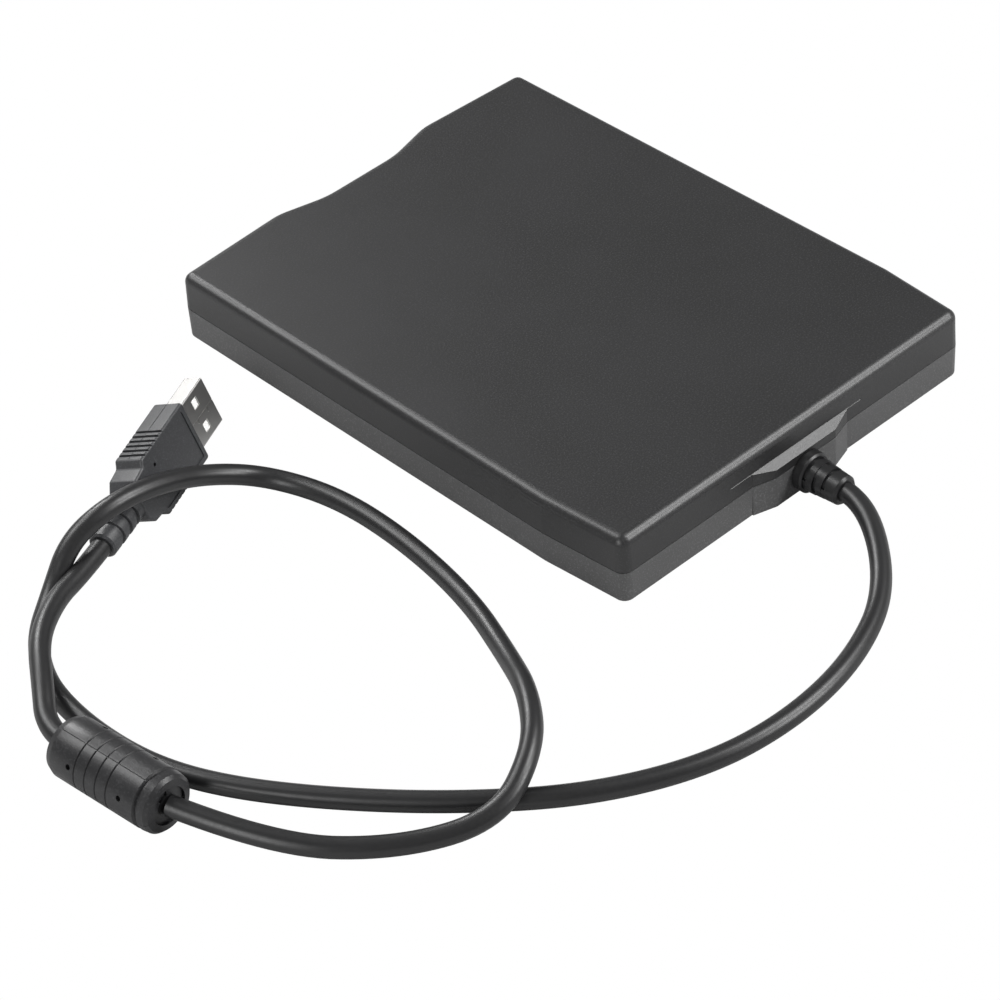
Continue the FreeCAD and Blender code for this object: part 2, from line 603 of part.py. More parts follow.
heads = block(-2.0, HEAD_Y + 1.4, 6.62, 2.0, HEAD_Y + 5.4, 8.4)
heads = heads.makeFillet(0.4, [e for e in heads.Edges if e.BoundBox.ZMin > 8.3])
solid("lower_head", heads)

# Upper arm on its pin, and the head it carries
arm = new_body("upper_arm")
sk = sketch_on(arm, "arm_plan", "XY_Plane", 12.95)
draw(sk, [(-5.2, 56.6, 0.8), (-5.2, 50.0), (-3.6, 30.6, 0.8), (3.6, 30.6, 0.8), (5.2, 50.0), (5.2, 56.6, 0.8)])
pad(arm, sk, 0.9)
sk = sketch_on(arm, "arm_window", "XY_Plane", 12.0)
draw(sk, [(-2.6, 39.0, 0.6), (2.6, 39.0, 0.6), (3.2, 50.0, 0.6), (-3.2, 50.0, 0.6)])
pocket(arm, sk, 3, up=True)
sk = sketch_on(arm, "arm_knuckle", "YZ_Plane")
draw_circle(sk, 55.2, 12.6, 1.1)
pad(arm, sk, 10.4, both=True)
sk = sketch_on(arm, "arm_pin", "YZ_Plane")
draw_circle(sk, 55.2, 12.6, 0.45)
pad(arm, sk, 14.6, both=True)
upper_head = block(-2.0, HEAD_Y + 1.4, 12.7, 2.0, HEAD_Y + 5.4, 12.95)
upper_head = upper_head.fuse(block(-1.2, HEAD_Y + 1.4, 12.45, 1.2, HEAD_Y + 5.4, 12.75))
solid("upper_head", upper_head)

# Boards at the rear of the chassis
board = new_body("control_board")
sk = sketch_on(board, "control_plan", "XY_Plane", 5.0)
draw(sk, [(-46.5, 38.0, 1.0), (-20.5, 38.0, 1.0), (-20.5, 61.0, 1.0), (-42.0, 61.0, 1.0), (-42.0, 58.0),
          (-46.5, 58.0, 1.0)])
pad(board, sk, 1.0)
sk = sketch_on(board, "control_spacers", "XY_Plane", 4.0)
for x, y in ((-44.0, 40.5), (-23.0, 40.5), (-23.0, 58.0)):
    draw_circle(sk, x, y, 1.5)
pad(board, sk, 1.2)
bridge = new_body("bridge_board")
sk = sketch_on(bridge, "bridge_plan", "XY_Plane", 5.0)
draw(sk, [(22.5, 38.0, 1.0), (46.5, 38.0, 1.0), (46.5, 58.0, 1.0), (42.0, 58.0), (42.0, 61.0, 1.0), (22.5, 61.0, 1.0)])
pad(bridge, sk, 1.0)
sk = sketch_on(bridge, "bridge_spacers", "XY_Plane", 4.0)
for x, y in ((44.0, 40.5), (25.0, 40.5), (25.0, 58.5)):
    draw_circle(sk, x, y, 1.5)
pad(bridge, sk, 1.2)
CHIPS = [
    (-38.0, 42.0, 9.0, 9.0, 1.4), (-28.0, 54.0, 6.0, 4.0, 1.2), (-40.0, 54.5, 4.0, 3.0, 1.0),
    (27.0, 42.0, 8.0, 8.0, 1.4), (38.5, 44.0, 5.0, 4.0, 1.2), (37.0, 51.5, 4.6, 2.4, 1.8),
    (26.5, 53.0, 3.0, 5.0, 2.6),
]
solid("board_chips", Part.makeCompound([block(x, y, 6.0, x + w, y + d, 6.0 + h) for x, y, w, d, h in CHIPS]))
plugs = [block(-31.0, 38.6, 6.0, -21.6, 41.0, 8.2), block(36.0, 57.0, 6.0, 41.6, 60.6, 9.0)]
solid("board_sockets", Part.makeCompound(plugs))


# Cables and cords
def tube(route, diameter, label):
    points = [V(*p) for p in route]
    edges = []
    cursor = points[0]
    radii = []
    for i in range(1, len(points) - 1):
        before, corner, after = points[i - 1], points[i], points[i + 1]
        turn = (corner - before).getAngle(after - corner)
        shorter = min(before.distanceToPoint(corner), corner.distanceToPoint(after))
        radius = 0.45 * shorter / math.tan(turn / 2)
        radii.append(round(radius, 1))
        start, middle, end = round_corner(before, corner, after, radius)
        edges.append(Part.LineSegment(cursor, start).toShape())
        edges.append(Part.Arc(start, middle, end).toShape())
        cursor = end
    edges.append(Part.LineSegment(cursor, points[-1]).toShape())
    path = Part.Wire(edges)
    circle = Part.Circle(points[0], points[1] - points[0], diameter / 2)
    shape = path.makePipeShell([Part.Wire(circle.toShape())], True, True)
    expected = math.pi * diameter ** 2 / 4 * path.Length
    print(label, "length %.0f" % path.Length, "volume ratio %.3f" % (shape.Volume / expected), "radii", radii)
    return shape


DRIVE_CORD = [
    (-1.0, 82.2, 5.6), (-1.0, 89.0, 5.2), (5.0, 98.8, 2.6), (20.0, 110.6, 2.3), (41.0, 117.2, 2.3),
    (64.0, 118.0, 2.3), (88.6, 109.5, 2.3), (110.0, 93.5, 2.3), (128.5, 73.5, 2.3), (142.0, 53.6, 2.3),
    (149.3, 37.0, 2.3), (150.6, 18.0, 2.3), (147.6, 0.5, 2.3), (140.0, -14.0, 2.3), (130.5, -21.8, 6.0),
    (120.5, -22.4, 13.2), (110.5, -20.3, 16.8), (99.0, -17.6, 14.6), (87.5, -14.6, 8.0), (76.0, -8.6, 2.6),
    (69.0, 8.0, 2.3), (69.6, 28.0, 2.3), (76.0, 50.0, 2.4), (87.0, 70.0, 5.0), (97.5, 85.5, 10.0),
    (108.5, 97.0, 9.6), (123.5, 102.0, 4.4), (139.0, 90.5, 2.4), (150.5, 71.0, 4.4), (158.5, 49.7, 7.1),
]
PLUG_CORD = [
    (160.6, 21.3, 7.1), (161.05, 15.0, 7.1), (156.6, 5.6, 9.6), (148.4, -3.0, 10.2), (137.6, -10.8, 9.4),
    (126.5, -15.8, 7.9), (117.5, -19.6, 7.5),
]
solid("drive_cord", tube(DRIVE_CORD, CORD, "drive_cord"))
solid("plug_cord", tube(PLUG_CORD, CORD, "plug_cord"))

# Strain relief at the case: flange inside the wall, neck, collar and tapering rings
relief = turned("strain_relief", [
    (0, 0), (5.6, 0), (5.6, 1.2), (4.2, 1.2), (4.2, 5.2), (4.5, 5.2), (4.7, 5.4), (4.7, 7.2), (4.3, 7.6), (3.5, 7.6),
    (3.5, 8.4), (4.0, 8.4), (3.9, 10.0), (3.3, 10.0), (3.3, 10.9), (3.75, 10.9), (3.65, 12.4), (3.1, 12.4),
    (3.1, 13.3), (3.55, 13.3), (3.4, 15.7), (2.9, 16.3), (0, 16.3),
])
sk = sketch_on(relief, "flange_flat", "XY_Plane", -0.5)
draw(sk, box_outline(-7, 3.4, 7, 7))
pocket(relief, sk, 1.7, up=True)
relief.Placement = FreeCAD.Placement(V(CABLE_X, 65.9, CABLE_Z), FreeCAD.Rotation(V(1, 0, 0), -90))
ribbon = new_body("cable_leads")
sk = sketch_on(ribbon, "ribbon_path", "XY_Plane", 6.2)
draw(sk, [(-1.4, 65.9), (-1.4, 64.3, 1.6), (38.4, 63.9, 1.6), (38.4, 60.6), (39.2, 60.6), (39.2, 64.7, 2.4),
          (-0.6, 65.1, 0.7), (-0.6, 65.9)])
pad(ribbon, sk, 2.5)

# Ferrite bead: split cover with ring grooves, hollow core inside
BEAD = FreeCAD.Placement(V(160.67, 21.0, 7.1), FreeCAD.Rotation(V(0, 0, 1), V(-0.0715, 0.9974, 0)))
BEAD_SECTION = [
    (2.4, 0.4), (4.4, 0.0), (6.1, 0.5), (6.75, 2.2), (6.75, 8.6), (6.45, 8.8), (6.75, 9.0),
    (6.75, 11.6), (6.45, 11.8), (6.75, 12.0), (6.75, 14.6), (6.45, 14.8), (6.75, 15.0), (6.75, 17.6),
    (6.45, 17.8), (6.75, 18.0), (6.75, 25.2), (6.1, 25.6), (6.1, 26.0), (6.7, 26.4), (6.5, 28.0),
    (5.8, 28.7), (4.3, 28.9), (4.0, 26.6), (2.4, 26.6), (2.4, 25.0), (5.5, 25.0), (5.5, 3.0), (2.4, 3.0),
]


def bead_half(name, start):
    body = new_body(name)
    sk = sketch_on(body, name + "_section", "XZ_Plane")
    draw(sk, BEAD_SECTION)
    feature = body.newObject("PartDesign::Revolution", name + "_turn")
    feature.Profile = sk
    feature.ReferenceAxis = (sk, ["V_Axis"])
    feature.Angle = 179.2
    doc.recompute()
    body.Placement = BEAD.multiply(FreeCAD.Placement(V(0, 0, 0), FreeCAD.Rotation(V(0, 0, 1), start)))
    return body


bead_half("bead_cover_left", 16.4)
bead_half("bead_cover_right", 196.4)
core = Part.makeCylinder(5.4, 21.6, V(0, 0, 3.2)).cut(Part.makeCylinder(2.5, 24, V(0, 0, 2)))
solid("bead_core", core, BEAD)
solid("bead_cord", Part.makeCylinder(CORD / 2, 28.1, V(0, 0, 0.35)), BEAD)

# Plug: modelled along X with the wide faces up, then turned to how it lies
PLUG = FreeCAD.Placement(V(72.2, -38.9, 9.5), FreeCAD.Rotation(V(-0.919, -0.392, 0.041), V(0.164, -0.283, 0.945),
                                                               V(-0.359, 0.875, 0.325), "XYZ"))
plug = new_body("plug_body")
sk = sketch_on(plug, "plug_plan", "XY_Plane", -3.6)
draw(sk, [(-10.5, -7.6, 0.8), (-10.5, 7.6, 0.8), (-30.0, 7.6, 0.9), (-31.0, 6.0, 1.0), (-34.6, 5.6, 0.8),
          (-36.4, 3.6), (-36.4, -3.6), (-34.6, -5.6, 0.8), (-31.0, -6.0, 1.0), (-30.0, -7.6, 0.9)])
shape = pad(plug, sk, 7.2, "Dims.plug_thickness")
edge_test = lambda e: len(e.Vertexes) > 1 and all(abs(abs(v.Point.z) - 3.6) < 0.01 for v in e.Vertexes)
fillet(plug, shape, edge_test, 0.6)
for side, name in ((3.6, "upper_panel"), (-3.6, "lower_panel")):
    sk = sketch_on(plug, name, "XY_Plane", side)
    draw(sk, [(-12.0, -6.2, 0.6), (-12.0, 6.2, 0.6), (-30.0, 6.2, 0.8), (-30.0, -6.2, 0.8)])
    pocket(plug, sk, 0.25, up=(side < 0))
sk = sketch_on(plug, "shell_seat", "YZ_Plane", -10.5)
draw(sk, box_outline(-6.0, -2.25, 6.0, 2.25, 0.4))
pocket(plug, sk, 3.0)
for k in range(6):
    x = -20.5 - 1.6 * k
    sk = sketch_on(plug, "grip_%d" % k, "XY_Plane", -4)
    draw(sk, box_outline(x - 0.4, 7.2, x + 0.4, 8.2))
    draw(sk, box_outline(x - 0.4, -8.2, x + 0.4, -7.2))
    pocket(plug, sk, 9, up=True)
plug.Placement = PLUG
PLUG_AXIS = PLUG.multiply(FreeCAD.Placement(V(0, 0, 0), FreeCAD.Rotation(V(0, 1, 0), -90)))
tail = turned("plug_relief", [
    (0, 36.4), (3.55, 36.4), (3.55, 38.4), (3.0, 38.6), (3.0, 39.6), (3.5, 39.8), (3.5, 41.6), (2.95, 41.8),
    (2.95, 42.8), (3.4, 43.0), (3.4, 44.8), (2.9, 45.0), (2.9, 46.0), (3.3, 46.2), (3.2, 48.8), (2.8, 49.3), (0, 49.3),
])
tail.Placement = PLUG_AXIS

shell = new_body("plug_shell")
sk = sketch_on(shell, "shell_section", "YZ_Plane", -13.4)
draw(sk, box_outline(-5.99, -2.24, 5.99, 2.24, 0.4))
pad(shell, sk, 13.4)
sk = sketch_on(shell, "shell_hollow", "YZ_Plane", -12.8)
draw(sk, box_outline(-5.69, -1.94, 5.69, 1.94, 0.25))
pocket(shell, sk, 14, up=True)
sk = sketch_on(shell, "latch_windows", "XY_Plane", -3)
for y in (-3.1, 3.1):
    draw(sk, box_outline(-6.4, y - 1.15, -4.2, y + 1.15))
pocket(shell, sk, 6, up=True)
sk = sketch_on(shell, "fold_seam", "XY_Plane", 2.24)
draw(sk, [(-10.4, -0.06), (-7.4, -0.06), (-7.4, -1.0), (-6.9, -1.0), (-6.9, -0.06), (-3.0, -0.06), (-3.0, -1.2),
          (-2.5, -1.2), (-2.5, -0.06), (0.1, -0.06), (0.1, 0.06), (-2.6, 0.06), (-2.6, 0.06), (-10.4, 0.06)])
pocket(shell, sk, 0.12)
shell.Placement = PLUG
tongue = block(-12.8, -5.4, 0.05, -0.5, 5.4, 1.9)
solid("plug_tongue", tongue, PLUG)
contacts = []
for y, width, length in ((-3.5, 1.0, 9.2), (-1.0, 1.0, 8.2), (1.0, 1.0, 8.2), (3.5, 1.0, 9.2)):
    contacts.append(block(-1.2 - length, y - width / 2, -0.15, -1.2, y + width / 2, 0.05))
solid("plug_contacts", Part.makeCompound(contacts), PLUG)

# Writing the pieces
doc.recompute()
bad = []
for obj in doc.Objects:
    state = list(getattr(obj, "State", []))
    if "Invalid" in state or "Error" in state:
        bad.append(obj.Name)
        print("bad state", obj.Name, state)
NODES = [o for o in doc.Objects if o.TypeId in ("PartDesign::Body", "Part::Feature")]
NODES = [o for o in NODES if o.getParentGeoFeatureGroup() is None]
os.makedirs("parts", exist_ok=True)
for node in NODES:
    piece = node.Shape
    if piece.isNull() or not piece.isValid() or piece.Volume < 1e-6:
        print("bad shape", node.Label, piece.isNull())
        bad.append(node.Label)
        continue
    piece.exportStep("parts/%s.step" % node.Label)
    b = piece.BoundBox
    print("%-18s vol %9.2f solids %d  x %.1f..%.1f y %.1f..%.1f z %.2f..%.2f" % (
        node.Label, piece.Volume, len(piece.Solids), b.XMin, b.XMax, b.YMin, b.YMax, b.ZMin, b.ZMax))
if bad:
    raise RuntimeError("not built: " + ", ".join(bad))
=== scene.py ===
import bmesh
import bpy
import json
import math
from mathutils import Matrix, Vector


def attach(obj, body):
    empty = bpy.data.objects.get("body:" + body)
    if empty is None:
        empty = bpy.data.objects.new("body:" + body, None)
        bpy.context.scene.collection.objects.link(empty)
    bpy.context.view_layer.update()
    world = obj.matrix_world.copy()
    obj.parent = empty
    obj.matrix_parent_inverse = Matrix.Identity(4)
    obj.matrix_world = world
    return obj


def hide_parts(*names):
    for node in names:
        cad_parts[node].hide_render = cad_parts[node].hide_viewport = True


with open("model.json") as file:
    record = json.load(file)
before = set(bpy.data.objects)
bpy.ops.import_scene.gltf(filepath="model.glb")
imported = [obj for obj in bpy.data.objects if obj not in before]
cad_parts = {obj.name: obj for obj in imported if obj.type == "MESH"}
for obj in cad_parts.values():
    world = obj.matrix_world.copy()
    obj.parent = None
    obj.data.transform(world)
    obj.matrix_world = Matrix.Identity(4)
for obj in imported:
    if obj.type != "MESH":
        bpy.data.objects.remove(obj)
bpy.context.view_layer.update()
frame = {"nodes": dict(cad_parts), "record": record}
scene = bpy.context.scene
scene.view_settings.view_transform = "Standard"
MM = 0.001
PER_METRE = 1000.0

# Camera at the photograph's viewing angle: from the rear right, above
AZIMUTH = math.radians(138.71)
ELEVATION = math.radians(39.93)
ROLL = math.radians(-4.36)
DISTANCE = 0.9101
TARGET = Vector((0.04562, 0.02551, 0.0006))
level_back = Vector((math.sin(AZIMUTH), -math.cos(AZIMUTH), 0.0))
back = level_back * math.cos(ELEVATION) + Vector((0.0, 0.0, math.sin(ELEVATION)))
level_right = Vector((math.cos(AZIMUTH), math.sin(AZIMUTH), 0.0))
level_up = back.cross(level_right)
right = level_right * math.cos(ROLL) + level_up * math.sin(ROLL)
up = -level_right * math.sin(ROLL) + level_up * math.cos(ROLL)
camera = bpy.data.objects.new("camera", bpy.data.cameras.new("camera"))
scene.collection.objects.link(camera)
scene.camera = camera
camera.data.sensor_width = 36.0
camera.data.lens = 154.09
camera.data.clip_start = 0.05
camera.data.clip_end = 20.0
camera_turn = Matrix((right, up, back)).transposed().to_4x4()
camera.matrix_world = Matrix.Translation(TARGET + back * DISTANCE) @ camera_turn


# Node materials
def new_material(name):
    mat = bpy.data.materials.new(name)
    mat.use_nodes = True
    tree = mat.node_tree
    shader = tree.nodes["Principled BSDF"]
    return mat, tree, shader


def node(tree, kind, **inputs):
    made = tree.nodes.new(kind)
    for key, value in inputs.items():
        if hasattr(made, key):
            setattr(made, key, value)
        else:
            made.inputs[key.replace("_", " ")].default_value = value
    return made


def noise(tree, coords, scale, detail=3.0, rough=0.5):
    made = node(tree, "ShaderNodeTexNoise", Scale=scale, Detail=detail, Roughness=rough)
    tree.links.new(coords, made.inputs["Vector"])
    return made.outputs["Fac"]


def ramp(tree, value, stops):
    made = tree.nodes.new("ShaderNodeValToRGB")
    elements = made.color_ramp.elements
    while len(elements) < len(stops):
        elements.new(0.5)
    for element, (place, color) in zip(elements, stops):
        element.position = place
        element.color = (*color, 1.0)
    tree.links.new(value, made.inputs["Fac"])
    return made.outputs["Color"]


def span(tree, value, low, high):
    made = tree.nodes.new("ShaderNodeMapRange")
    made.inputs["To Min"].default_value = low
    made.inputs["To Max"].default_value = high
    tree.links.new(value, made.inputs["Value"])
    return made.outputs["Result"]


def bumped(tree, shader, heights):
    normal = None
    for height, strength, distance in heights:
        made = node(tree, "ShaderNodeBump", Strength=strength, Distance=distance)
        tree.links.new(height, made.inputs["Height"])
        if normal is not None:
            tree.links.new(normal, made.inputs["Normal"])
        normal = made.outputs["Normal"]
    tree.links.new(normal, shader.inputs["Normal"])


def object_coords(tree):
    return tree.nodes.new("ShaderNodeTexCoord").outputs["Object"]


def painted_edge_highlight(tree, width, amount, base_color, painted_highlight_color):
    """Rounded edges get a paler tone: a painted highlight along the fillets, where light catches them."""
    bevel = tree.nodes.new("ShaderNodeBevel")
    bevel.inputs["Radius"].default_value = width
    geometry = tree.nodes.new("ShaderNodeNewGeometry")
    dot = tree.nodes.new("ShaderNodeVectorMath")
    dot.operation = "DOT_PRODUCT"
    tree.links.new(bevel.outputs["Normal"], dot.inputs[0])
    tree.links.new(geometry.outputs["Normal"], dot.inputs[1])
    sharp = span(tree, dot.outputs["Value"], amount, 0.0)
    mix = tree.nodes.new("ShaderNodeMix")
    mix.data_type = "RGBA"
    tree.links.new(sharp, mix.inputs["Factor"])
    tree.links.new(base_color, mix.inputs["A"])
    # Painted highlight colour laid on the rounded edges
    mix.inputs["B"].default_value = (*painted_highlight_color, 1.0)
    return mix.outputs["Result"]


def moulded(name, dark, pale, rough, grain=2600.0, grain_height=0.35, sheen=0.5):
    """Injection moulded plastic with a fine spark-eroded grain and faint tone clouds."""
    mat, tree, shader = new_material(name)
    coords = object_coords(tree)
    clouds = noise(tree, coords, 38.0, 4.0)
    speck = noise(tree, coords, grain, 2.0, 0.6)
    fine = noise(tree, coords, grain * 2.6, 1.0, 0.5)
    color = ramp(tree, clouds, [(0.32, dark), (0.68, pale)])
    flecks = tree.nodes.new("ShaderNodeMix")
    flecks.data_type = "RGBA"
    fleck_mask = ramp(tree, speck, [(0.52, (0.0, 0.0, 0.0)), (0.78, (1.0, 1.0, 1.0))])
    tree.links.new(fleck_mask, flecks.inputs["Factor"])
    tree.links.new(color, flecks.inputs["A"])
    flecks.inputs["B"].default_value = (*(c * 2.2 for c in pale), 1.0)
    # Painted highlight: rounded edges lightened towards pale x 1.6
    color = painted_edge_highlight(tree, 0.0004, 0.35, flecks.outputs["Result"], tuple(c * 1.6 for c in pale))
    tree.links.new(color, shader.inputs["Base Color"])
    tree.links.new(span(tree, speck, rough - 0.07, rough + 0.09), shader.inputs["Roughness"])
    shader.inputs["Specular IOR Level"].default_value = sheen
    bumped(tree, shader, [(speck, grain_height, 0.00005), (fine, grain_height * 0.6, 0.00002)])
    return mat


def soft_moulded(name, dark, pale, rough):
    """Flexible sheath plastic: satin, with a slow ripple and dust in it."""
    mat, tree, shader = new_material(name)
    coords = object_coords(tree)
    clouds = noise(tree, coords, 70.0, 5.0)
    fine = noise(tree, coords, 1500.0, 3.0)
    ripple = noise(tree, coords, 260.0, 2.0)
    color = ramp(tree, clouds, [(0.3, dark), (0.7, pale)])
    tree.links.new(color, shader.inputs["Base Color"])
    tree.links.new(span(tree, fine, rough - 0.06, rough + 0.1), shader.inputs["Roughness"])
    shader.inputs["Specular IOR Level"].default_value = 0.46
    shader.inputs["Coat Weight"].default_value = 0.05
    shader.inputs["Coat Roughness"].default_value = 0.35
    bumped(tree, shader, [(ripple, 0.12, 0.0002), (fine, 0.15, 0.00004)])
    return mat


def metal(name, color, rough, stretch=(1.0, 1.0, 30.0), grain=900.0):
    """Rolled or drawn metal with brush lines, smudges and a little tarnish."""
    mat, tree, shader = new_material(name)
    coords = object_coords(tree)
    mapping = tree.nodes.new("ShaderNodeMapping")
    mapping.inputs["Scale"].default_value = stretch
    tree.links.new(coords, mapping.inputs["Vector"])
    lines = noise(tree, mapping.outputs["Vector"], grain, 3.0)
    smudge = noise(tree, coords, 90.0, 5.0)
    low = tuple(c * 0.78 for c in color)
    tree.links.new(ramp(tree, smudge, [(0.3, low), (0.7, color)]), shader.inputs["Base Color"])
    shader.inputs["Metallic"].default_value = 1.0
    tree.links.new(span(tree, lines, rough - 0.08, rough + 0.12), shader.inputs["Roughness"])
    bumped(tree, shader, [(lines, 0.12, 0.00003), (smudge, 0.05, 0.0003)])
    return mat


def board_material(name):
    """Solder-masked board: woven glass below the lacquer, copper tracks and bright pads."""
    mat, tree, shader = new_material(name)
    coords = object_coords(tree)
    weave = node(tree, "ShaderNodeTexBrick", Scale=900.0)
    tree.links.new(coords, weave.inputs["Vector"])
    cells = node(tree, "ShaderNodeTexVoronoi", Scale=260.0, distance="CHEBYCHEV", feature="F1")
    tree.links.new(coords, cells.inputs["Vector"])
    track_stops = [(0.44, (0.012, 0.085, 0.035)), (0.52, (0.03, 0.16, 0.06))]
    tracks = ramp(tree, cells.outputs["Distance"], track_stops)
    pads = node(tree, "ShaderNodeTexVoronoi", Scale=420.0)
    tree.links.new(coords, pads.inputs["Vector"])
    mask = ramp(tree, pads.outputs["Distance"], [(0.10, (1.0, 1.0, 1.0)), (0.14, (0.0, 0.0, 0.0))])
    mix = tree.nodes.new("ShaderNodeMix")
    mix.data_type = "RGBA"
    tree.links.new(mask, mix.inputs["Factor"])
    tree.links.new(tracks, mix.inputs["A"])
    mix.inputs["B"].default_value = (0.62, 0.6, 0.55, 1.0)
    tree.links.new(mix.outputs["Result"], shader.inputs["Base Color"])
    tree.links.new(mask, shader.inputs["Metallic"])
    shader.inputs["Roughness"].default_value = 0.32
    bumped(tree, shader, [(weave.outputs["Fac"], 0.05, 0.00002), (cells.outputs["Distance"], 0.2, 0.00005)])
    return mat


# Painted light: upper and lower shells are one plastic in two tones; the lower shell is about five times
# paler, standing in for light on its walls
CASE_TOP = moulded("case_upper", (0.011, 0.011, 0.0113), (0.014, 0.014, 0.0146), 0.38)
CASE_LOW_PAINTED_PALE = moulded("case_lower", (0.053, 0.053, 0.053), (0.061, 0.061, 0.062), 0.42, sheen=0.5)
DARK = moulded("dark_plastic", (0.013, 0.013, 0.0135), (0.018, 0.018, 0.019), 0.42)
CORD_MAT = soft_moulded("cord", (0.007, 0.007, 0.0074), (0.010, 0.010, 0.0106), 0.36)
BEAD_MAT = moulded("bead", (0.011, 0.011, 0.0117), (0.016, 0.016, 0.017), 0.36, grain=2200.0, sheen=0.42)
PLUG_MAT = moulded("plug_mould", (0.025, 0.0256, 0.0275), (0.031, 0.0317, 0.034), 0.42, grain=3400.0)
RUBBER = soft_moulded("rubber", (0.018, 0.018, 0.018), (0.028, 0.028, 0.028), 0.7)
SHELL_METAL = metal("plug_metal", (0.47, 0.465, 0.455), 0.32, stretch=(25.0, 1.0, 1.0))
SHEET = metal("steel_sheet", (0.62, 0.62, 0.62), 0.36, stretch=(1.0, 18.0, 1.0))
SCREW_STEEL = metal("screw_steel", (0.50, 0.50, 0.51), 0.28)
BRASS = metal("brass", (0.78, 0.58, 0.30), 0.28)
BOARD = board_material("board")
CHIP = moulded("chip", (0.018, 0.018, 0.019), (0.026, 0.026, 0.028), 0.55, grain=3200.0)
SOCKET = moulded("socket", (0.72, 0.70, 0.62), (0.80, 0.78, 0.70), 0.42)
LEADS = soft_moulded("leads", (0.30, 0.04, 0.03), (0.42, 0.06, 0.05), 0.42)
CERAMIC = moulded("head_ceramic", (0.42, 0.40, 0.36), (0.50, 0.48, 0.44), 0.30)
FERRITE = moulded("ferrite", (0.05, 0.05, 0.055), (0.09, 0.09, 0.095), 0.62, grain=1500.0, grain_height=0.8)
WHITE_PLASTIC = moulded("insulator", (0.74, 0.74, 0.72), (0.82, 0.82, 0.80), 0.38, grain_height=0.1)
LENS = moulded("lens", (0.10, 0.26, 0.10), (0.13, 0.34, 0.13), 0.18, grain_height=0.05)
LENS.node_tree.nodes["Principled BSDF"].inputs["Transmission Weight"].default_value = 0.35

FINISH = {
    "case_upper": CASE_TOP, "case_lower": CASE_LOW_PAINTED_PALE, "dark_plastic": DARK, "lens": LENS,
    "rubber": RUBBER, "screw_steel": SCREW_STEEL, "steel_sheet": SHEET, "board": BOARD,
    "brass": BRASS, "head_ceramic": CERAMIC,
    "chip": CHIP, "socket": SOCKET, "cord": CORD_MAT, "leads": LEADS, "bead": BEAD_MAT, "ferrite": FERRITE,
    "plug_mould": PLUG_MAT, "plug_metal": SHELL_METAL, "insulator": WHITE_PLASTIC,
}
for entry in frame["record"]["subparts"]:
    piece = frame["nodes"][entry["node"]]
    piece.data.materials.clear()
    piece.data.materials.append(FINISH[entry["material_slot"]])


# Cords
CORD_DIAMETER = 4.6


def cord_curve(name, route):
    data = bpy.data.curves.new(name, "CURVE")
    data.dimensions = "3D"
    data.bevel_depth = CORD_DIAMETER * MM / 2
    data.bevel_resolution = 6
    data.resolution_u = 12
    data.use_fill_caps = True
    spline = data.splines.new("NURBS")
    spline.points.add(len(route) - 1)
    for point, place in zip(spline.points, route):
        point.co = (place[0] * MM, place[1] * MM, place[2] * MM, 1.0)
    spline.order_u = 3
    spline.use_endpoint_u = True
    data.materials.append(CORD_MAT)
    made = bpy.data.objects.new(name, data)
    scene.collection.objects.link(made)
    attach(made, "case")
    return made


DRIVE_ROUTE = [
    (-1.0, 82.2, 5.6), (-1.0, 89.0, 5.2), (14.0, 107.2, 2.6), (33.7, 116.3, 2.3),
    (54.9, 119.0, 2.3), (75.8, 115.9, 2.3), (97.3, 104.8, 2.3), (116.1, 87.7, 2.3),
    (132.7, 68.0, 2.3), (145.0, 49.2, 2.3), (150.8, 33.3, 2.3), (152.0, 15.4, 2.3),
    (149.4, -0.5, 2.3), (142.2, -12.2, 2.3), (132.6, -18.0, 5.6), (125.0, -20.4, 13.0),
    (114.6, -19.4, 16.8), (101.5, -19.8, 14.6), (87.0, -20.6, 8.0), (75.0, -15.7, 2.6),
    (69.4, 0.9, 2.3), (69.5, 22.2, 2.3), (73.4, 45.2, 2.4), (82.1, 65.6, 5.0),
    (90.7, 81.2, 10.0), (100.6, 92.7, 9.6), (115.8, 98.0, 4.4), (133.6, 87.7, 2.4),
    (150.5, 71.0, 4.4), (158.5, 49.7, 7.1),
]
PLUG_ROUTE = [
    (160.6, 21.3, 7.1), (161.0, 15.0, 7.1), (154.6, 6.4, 9.4), (146.9, -4.3, 10.2),
    (136.4, -11.9, 9.4), (126.5, -15.8, 7.9), (117.5, -19.6, 7.5),
]
nodes = frame["nodes"]
drive_line = cord_curve("drive_cord_line", DRIVE_ROUTE)
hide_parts("drive_cord")
plug_line = cord_curve("plug_cord_line", PLUG_ROUTE)
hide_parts("plug_cord")


# Pieces with fine cut detail, each a copy of its node with cutters taken out of it
WELD_DISTANCE = 0.000001


def mesh_object(name, bm):
    data = bpy.data.meshes.new(name)
    bmesh.ops.recalc_face_normals(bm, faces=bm.faces)
    bm.to_mesh(data)
    bm.free()
    made = bpy.data.objects.new(name, data)
    scene.collection.objects.link(made)
    return made


def bar(frame_matrix, low, high):
    """A rectangular cutter between two corners, in millimetres in its own frame."""
    bm = bmesh.new()
    middle = [(a + b) / 2 * MM for a, b in zip(low, high)]
    size = [(b - a) * MM for a, b in zip(low, high)]
    spot = Matrix.Translation(middle) @ Matrix.Diagonal((*size, 1.0))
    bmesh.ops.create_cube(bm, size=1.0, matrix=spot)
    bm.transform(frame_matrix)
    return mesh_object("cutter", bm)


def pin(frame_matrix, place, toward, radius, depth):
    """A round cutter centred on a place of a surface and running along its normal."""
    bm = bmesh.new()
    turn = Vector(toward).to_track_quat("Z", "Y").to_matrix().to_4x4()
    spot = Matrix.Translation([c * MM for c in place]) @ turn
    wide = radius * MM
    bmesh.ops.create_cone(bm, cap_ends=True, segments=24, radius1=wide, radius2=wide,
                          depth=2 * depth * MM, matrix=spot)
    bm.transform(frame_matrix)
    return mesh_object("cutter", bm)


